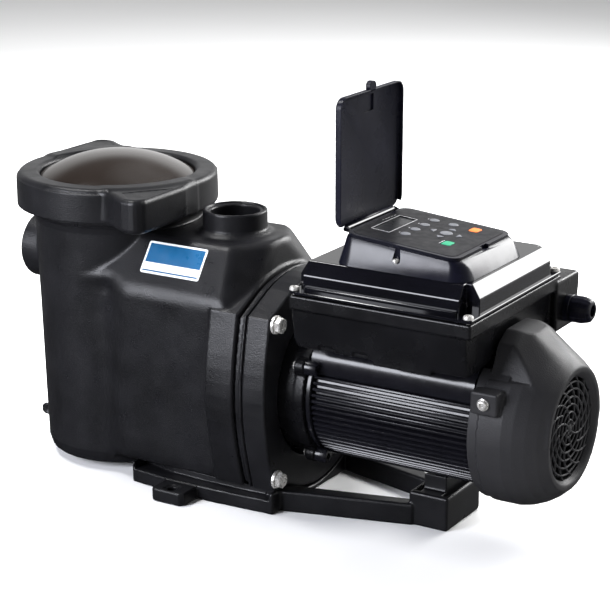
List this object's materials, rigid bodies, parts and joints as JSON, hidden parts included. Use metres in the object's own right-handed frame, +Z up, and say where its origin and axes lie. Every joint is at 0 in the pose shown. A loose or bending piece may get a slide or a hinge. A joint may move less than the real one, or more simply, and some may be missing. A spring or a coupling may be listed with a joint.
{
  "type": "pool pump",
  "caption": "Variable-speed pool pump: strainer pot with clear lid and lock ring, ported wet end, finned motor with fan cover, drive box with hinged keypad cover, base frame.",
  "frame": {"origin": "on the floor under the shaft, at the back face of the wet end's flange, on the underside of the base", "axes": "+X along the shaft from the strainer pot to the fan, +Y towards the side with the cable gland, +Z up"},
  "size_m": [0.599, 0.241, 0.4047],
  "materials": {
    "moulded_black": "satin black glass-filled moulding, slightly mottled",
    "gloss_black": "gloss black moulding",
    "cover_grey": "satin dark grey moulding",
    "cast_black": "black coated cast aluminium, satin",
    "stainless": "plain stainless steel, lightly worn",
    "basket_plastic": "natural off-white moulding",
    "seat_ceramic": "ground off-white seal face",
    "smoked_clear": "smoked clear moulding, polished",
    "rubber": "black rubber",
    "winding": "lacquered copper winding on steel laminations",
    "board_green": "green circuit board with components",
    "faceplate_black": "fine-textured dark membrane",
    "display_dark": "dark display window",
    "key_grey": "grey moulded key",
    "key_green": "green moulded key",
    "key_orange": "orange moulded key"
  },
  "bodies": {
    "pump_body": {"wet_end_housing": "moulded_black", "seal_plate": "moulded_black", "base_frame": "moulded_black", "gland_body": "moulded_black", "gland_nut": "moulded_black", "diffuser": "basket_plastic", "seal_seat": "seat_ceramic", "seal_plate_o_ring": "rubber", "drive_gasket": "rubber", "flange_bolt_1": "stainless", "flange_bolt_2": "stainless", "flange_bolt_3": "stainless", "flange_bolt_4": "stainless", "front_bearing": "stainless", "rear_bearing": "stainless", "end_bell_screw_1": "stainless", "end_bell_screw_2": "stainless", "end_bell_screw_3": "stainless", "end_bell_screw_4": "stainless", "fan_cover_screw_1": "stainless", "fan_cover_screw_2": "stainless", "drive_lid_screw_1": "stainless", "drive_lid_screw_2": "stainless", "drive_lid_screw_3": "stainless", "drive_lid_screw_4": "stainless", "panel_screw": "stainless", "drive_end_bell": "cast_black", "motor_frame": "cast_black", "rear_end_bell": "cast_black", "drive_case": "cast_black", "stator": "winding", "fan_cover": "cover_grey", "drive_lid": "gloss_black", "panel_housing": "gloss_black", "inverter_board": "board_green", "keypad_faceplate": "faceplate_black", "display_module": "display_dark"},
    "rotor": {"motor_shaft": "stainless", "rotor_core": "stainless", "impeller": "basket_plastic", "seal_head": "stainless", "cooling_fan": "basket_plastic"},
    "lid": {"clear_lid": "smoked_clear", "lid_o_ring": "rubber"},
    "ring": {"lock_ring": "moulded_black"},
    "basket": {"strainer_basket": "basket_plastic"},
    "drain": {"drain_plug": "moulded_black"},
    "cover": {"panel_cover": "gloss_black"},
    "soft_key_1_body": {"soft_key_1": "key_grey"},
    "soft_key_2_body": {"soft_key_2": "key_grey"},
    "soft_key_3_body": {"soft_key_3": "key_grey"},
    "soft_key_4_body": {"soft_key_4": "key_grey"},
    "soft_key_5_body": {"soft_key_5": "key_grey"},
    "enter_key_body": {"enter_key": "key_grey"},
    "left_key_body": {"left_key": "key_grey"},
    "right_key_body": {"right_key": "key_grey"},
    "up_key_body": {"up_key": "key_grey"},
    "down_key_body": {"down_key": "key_grey"},
    "start_key_body": {"start_key": "key_green"},
    "stop_key_body": {"stop_key": "key_orange"}
  },
  "joints": [
    {"name": "shaft_spin", "type": "hinge", "parent": "pump_body", "child": "rotor", "pos_m": [0, 0, 0.11], "axis": [1, 0, 0], "continuous": true},
    {"name": "cover_hinge", "type": "hinge", "parent": "pump_body", "child": "cover", "pos_m": [0.09647, -0.0147, 0.27899], "axis": [0, 1, 0], "range_deg": [-12, 94.9]},
    {"name": "lid_lift", "type": "slide", "parent": "pump_body", "child": "lid", "axis": [0, 0, 1], "range_m": [0, 0.3]},
    {"name": "ring_turn", "type": "hinge", "parent": "lid", "child": "ring", "pos_m": [-0.196, 0, 0.27], "axis": [0, 0, 1], "range_deg": [0, 14]},
    {"name": "basket_lift", "type": "slide", "parent": "pump_body", "child": "basket", "axis": [0, 0, 1], "range_m": [0, 0.255]},
    {"name": "drain_turn", "type": "hinge", "parent": "pump_body", "child": "drain", "pos_m": [-0.28, 0, 0.02], "axis": [1, 0, 0], "range_deg": [0, 360]},
    {"name": "soft_key_1_press", "type": "slide", "parent": "pump_body", "child": "soft_key_1_body", "axis": [-0.0854, 0, -0.9963], "range_m": [0, 0.0004], "stiffness_N_per_m": 400},
    {"name": "soft_key_2_press", "type": "slide", "parent": "pump_body", "child": "soft_key_2_body", "axis": [-0.0854, 0, -0.9963], "range_m": [0, 0.0004], "stiffness_N_per_m": 400},
    {"name": "soft_key_3_press", "type": "slide", "parent": "pump_body", "child": "soft_key_3_body", "axis": [-0.0854, 0, -0.9963], "range_m": [0, 0.0004], "stiffness_N_per_m": 400},
    {"name": "soft_key_4_press", "type": "slide", "parent": "pump_body", "child": "soft_key_4_body", "axis": [-0.0854, 0, -0.9963], "range_m": [0, 0.0004], "stiffness_N_per_m": 400},
    {"name": "soft_key_5_press", "type": "slide", "parent": "pump_body", "child": "soft_key_5_body", "axis": [-0.0854, 0, -0.9963], "range_m": [0, 0.0004], "stiffness_N_per_m": 400},
    {"name": "enter_key_press", "type": "slide", "parent": "pump_body", "child": "enter_key_body", "axis": [-0.0854, 0, -0.9963], "range_m": [0, 0.0004], "stiffness_N_per_m": 400},
    {"name": "left_key_press", "type": "slide", "parent": "pump_body", "child": "left_key_body", "axis": [-0.0854, 0, -0.9963], "range_m": [0, 0.0004], "stiffness_N_per_m": 400},
    {"name": "right_key_press", "type": "slide", "parent": "pump_body", "child": "right_key_body", "axis": [-0.0854, 0, -0.9963], "range_m": [0, 0.0004], "stiffness_N_per_m": 400},
    {"name": "up_key_press", "type": "slide", "parent": "pump_body", "child": "up_key_body", "axis": [-0.0854, 0, -0.9963], "range_m": [0, 0.0004], "stiffness_N_per_m": 400},
    {"name": "down_key_press", "type": "slide", "parent": "pump_body", "child": "down_key_body", "axis": [-0.0854, 0, -0.9963], "range_m": [0, 0.0004], "stiffness_N_per_m": 400},
    {"name": "start_key_press", "type": "slide", "parent": "pump_body", "child": "start_key_body", "axis": [-0.0854, 0, -0.9963], "range_m": [0, 0.0004], "stiffness_N_per_m": 400},
    {"name": "stop_key_press", "type": "slide", "parent": "pump_body", "child": "stop_key_body", "axis": [-0.0854, 0, -0.9963], "range_m": [0, 0.0004], "stiffness_N_per_m": 400}
  ],
  "couplings": [
    {"joint": "basket_lift", "follows": "lid_lift", "ratio": 0.85}
  ]
}
